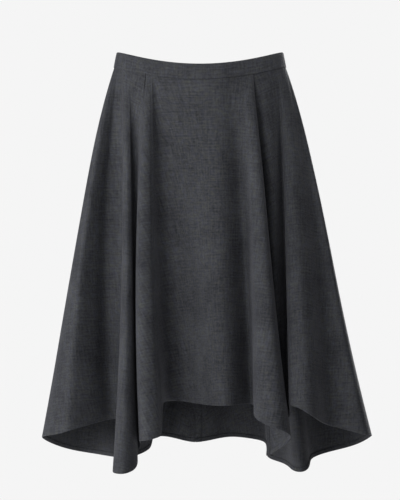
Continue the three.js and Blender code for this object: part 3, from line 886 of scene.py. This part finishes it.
class SKIRT_OT_zip_coil(bpy.types.Operator):
    """Make the turns of the two nylon coils, which mesh behind the opening"""

    bl_idname = "skirt.zip_coil"
    bl_label = "Zip coil"

    def execute(self, context):
        settings = context.scene.skirt_zip
        levels = ZIP_LEVELS[1:]
        path = np.array([behind_back(0.0, level, tape_inset(level) + COIL_BEHIND_TAPE) for level in levels])
        run = run_along(path)
        count = int(run[-1] / settings.coil_pitch)
        look_ahead = 2.0
        bm = bmesh.new()
        for k in range(2 * count):
            place = (k + 0.5) * settings.coil_pitch / 2
            centre = np.array([np.interp(place, run, path[:, axis]) for axis in range(3)])
            further = min(place + look_ahead, run[-1])
            ahead = np.array([np.interp(further, run, path[:, axis]) for axis in range(3)])
            lean = math.atan2(ahead[1] - centre[1], centre[2] - ahead[2]) if ahead[2] < centre[2] else 0.0
            side = COIL_OFFSET if k % 2 else -COIL_OFFSET
            matrix = (
                Matrix.Translation(Vector(centre + np.array((side, 0, 0))) * MM)
                @ Matrix.Rotation(lean, 4, "X")
                @ Matrix.Diagonal([size * MM for size in COIL_TURN] + [1])
            )
            bmesh.ops.create_cube(bm, size=1.0, matrix=matrix)
        bmesh.ops.bevel(
            bm,
            geom=list(bm.edges),
            offset=COIL_ROUNDING * MM,
            offset_type="OFFSET",
            affect="EDGES",
            segments=2,
            profile=0.5,
            material=-1,
            clamp_overlap=True,
        )
        for face in bm.faces:
            face.smooth = True
        mesh = bpy.data.meshes.new("zip_coil")
        bm.to_mesh(mesh)
        bm.free()
        piece = bpy.data.objects.new("zip_coil", mesh)
        context.collection.objects.link(piece)
        finish_piece(piece, "zip_tape", coil_material())
        return {"FINISHED"}


class SKIRT_OT_zip_metal(bpy.types.Operator):
    """Give the slider and the pull their lacquered metal"""

    bl_idname = "skirt.zip_metal"
    bl_label = "Zip slider and pull"

    def execute(self, context):
        material = zip_metal_material()
        for name in ("zip_slider", "zip_pull"):
            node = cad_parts[name]
            for slot in node.material_slots:
                slot.link = "OBJECT"
                slot.material = material
        return {"FINISHED"}


class SKIRT_OT_stage(bpy.types.Operator):
    """Make the floor, the soft studio light and the camera"""

    bl_idname = "skirt.stage"
    bl_label = "Stage"

    def execute(self, context):
        stage, scene = context.scene.skirt_stage, context.scene
        scene.view_settings.view_transform = "Standard"
        self.add_floor(context, stage)
        self.add_world(scene, stage)
        for name, azimuth, elevation, distance, size in LAMPS:
            self.add_light(context, name, azimuth, elevation, distance, size, getattr(stage, name.lower()))
        camera = bpy.data.cameras.new("Camera")
        camera.sensor_width = 36.0
        camera.lens = camera.sensor_width * stage.camera_distance / stage.picture_height
        viewer = bpy.data.objects.new("Camera", camera)
        context.collection.objects.link(viewer)
        viewer.location = (0, -stage.camera_distance, stage.camera_height)
        viewer.rotation_euler = (math.pi / 2, 0, 0)
        scene.camera = viewer
        return {"FINISHED"}

    def add_floor(self, context, stage):
        bm = bmesh.new()
        bmesh.ops.create_circle(bm, cap_ends=True, segments=96, radius=FLOOR_RADIUS)
        bmesh.ops.translate(bm, verts=bm.verts, vec=(0, 0, stage.floor_height))
        mesh = bpy.data.meshes.new("floor")
        bm.to_mesh(mesh)
        bm.free()
        floor = bpy.data.objects.new("floor", mesh)
        floor.data.materials.append(floor_material())
        context.collection.objects.link(floor)

    def add_world(self, scene, stage):
        """Even white room light, and a pale backdrop behind the skirt."""
        world = bpy.data.worlds.new("Studio")
        world.use_nodes = True
        tree = world.node_tree
        tree.nodes.clear()
        room = add_node(tree, "Background", {"Color": (1, 1, 1, 1), "Strength": stage.sky})
        backdrop = add_node(tree, "Background", {"Color": linear("#f5f5f5")})
        seen = add_node(tree, "LightPath", {}, "Is Camera Ray")
        both = add_node(tree, "MixShader", {0: seen, 1: room, 2: backdrop})
        add_node(tree, "OutputWorld", {"Surface": both})
        scene.world = world

    def add_light(self, context, name, azimuth, elevation, distance, size, power):
        """A square soft light, out of the camera's sight."""
        turn, rise = math.radians(azimuth), math.radians(elevation)
        away = Vector((math.sin(turn) * math.cos(rise), -math.cos(turn) * math.cos(rise), math.sin(rise)))
        light = bpy.data.lights.new(name, "AREA")
        light.size = size
        light.energy = power
        lamp = bpy.data.objects.new(name, light)
        context.collection.objects.link(lamp)
        lamp.location = Vector(LAMP_AIM) + away * distance
        lamp.rotation_euler = away.to_track_quat("Z", "Y").to_euler()
        lamp.visible_camera = False


class SKIRT_PT_sidebar(bpy.types.Panel):
    """Sizes of the skirt and one button for each group of pieces"""

    bl_idname = "SKIRT_PT_sidebar"
    bl_label = "Asymmetric skirt"
    bl_space_type = "VIEW_3D"
    bl_region_type = "UI"
    bl_category = "Skirt"

    def draw(self, context):
        layout = self.layout
        for group, _ in GROUPS:
            settings = getattr(context.scene, group)
            box = layout.box()
            for name in settings.__annotations__:
                box.prop(settings, name)
        for operator in OPERATORS:
            layout.operator(operator.bl_idname)


GROUPS = (
    ("skirt_cloth", SkirtCloth),
    ("skirt_band", SkirtBand),
    ("skirt_zip", SkirtZip),
    ("skirt_stage", SkirtStage),
)
OPERATORS = (
    SKIRT_OT_panels,
    SKIRT_OT_waistband,
    SKIRT_OT_zip_tapes,
    SKIRT_OT_zip_coil,
    SKIRT_OT_zip_metal,
    SKIRT_OT_stage,
)
CLASSES = tuple(group for _, group in GROUPS) + OPERATORS + (SKIRT_PT_sidebar,)


def register():
    for cls in CLASSES:
        bpy.utils.register_class(cls)
    for name, group in GROUPS:
        setattr(bpy.types.Scene, name, PointerProperty(type=group))


def unregister():
    for name, _ in GROUPS:
        delattr(bpy.types.Scene, name)
    for cls in reversed(CLASSES):
        bpy.utils.unregister_class(cls)


def main():
    register()
    bpy.ops.skirt.panels()
    bpy.ops.skirt.waistband()
    bpy.ops.skirt.zip_tapes()
    bpy.ops.skirt.zip_coil()
    bpy.ops.skirt.zip_metal()
    bpy.ops.skirt.stage()


if __name__ == "__main__":
    main()
